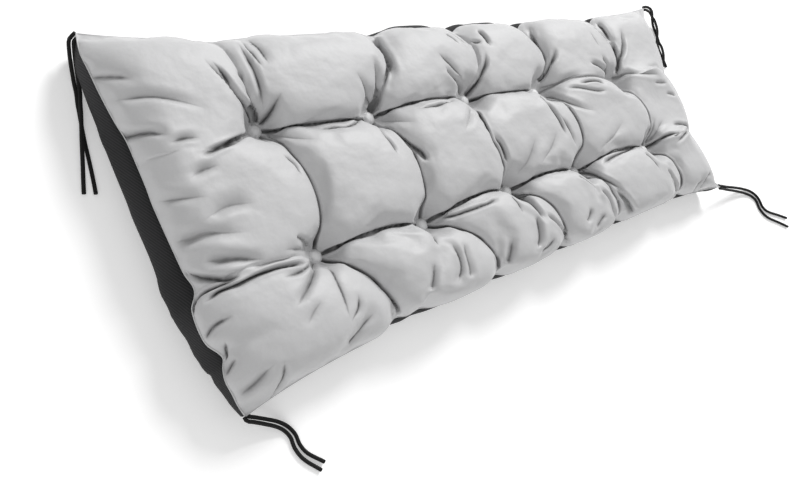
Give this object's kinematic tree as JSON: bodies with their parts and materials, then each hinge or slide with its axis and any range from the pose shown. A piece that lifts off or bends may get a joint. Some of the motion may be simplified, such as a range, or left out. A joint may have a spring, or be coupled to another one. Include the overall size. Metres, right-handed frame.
{
  "type": "bench cushion",
  "caption": "Long tufted bench cushion with a pale front cloth, covered buttons in creased channels, a black wrapped back cloth and doubled cord ties at its corners.",
  "frame": {"origin": "under the middle of the cushion's bounding box, on the surface it lies on; the ties are left out of that box", "axes": "+X along the cushion from the near end to the far end, +Y across it towards the upper long side, +Z out of its tufted front"},
  "size_m": [1.5327, 0.6532, 0.108],
  "materials": {
    "front_cloth": "pale grey satin-faced polyester, tightly woven, with a soft sheen and fine specks",
    "button_cloth": "the front cloth drawn tight over button moulds",
    "back_cloth": "matt black twill with fine diagonal ribs",
    "tie_cord": "matt black braided cord"
  },
  "bodies": {
    "root": {"front_panel": "front_cloth", "back_panel": "back_cloth", "button_upper_1": "button_cloth", "button_upper_2": "button_cloth", "button_upper_3": "button_cloth", "button_upper_4": "button_cloth", "button_upper_5": "button_cloth", "button_lower_1": "button_cloth", "button_lower_2": "button_cloth", "button_lower_3": "button_cloth", "button_lower_4": "button_cloth", "button_lower_5": "button_cloth", "tie_near_upper_a": "tie_cord", "tie_near_upper_b": "tie_cord", "tie_near_lower_a": "tie_cord", "tie_near_lower_b": "tie_cord", "tie_far_lower_a": "tie_cord", "tie_far_lower_b": "tie_cord", "tie_far_upper_a": "tie_cord", "tie_far_upper_b": "tie_cord"}
  },
  "joints": []
}
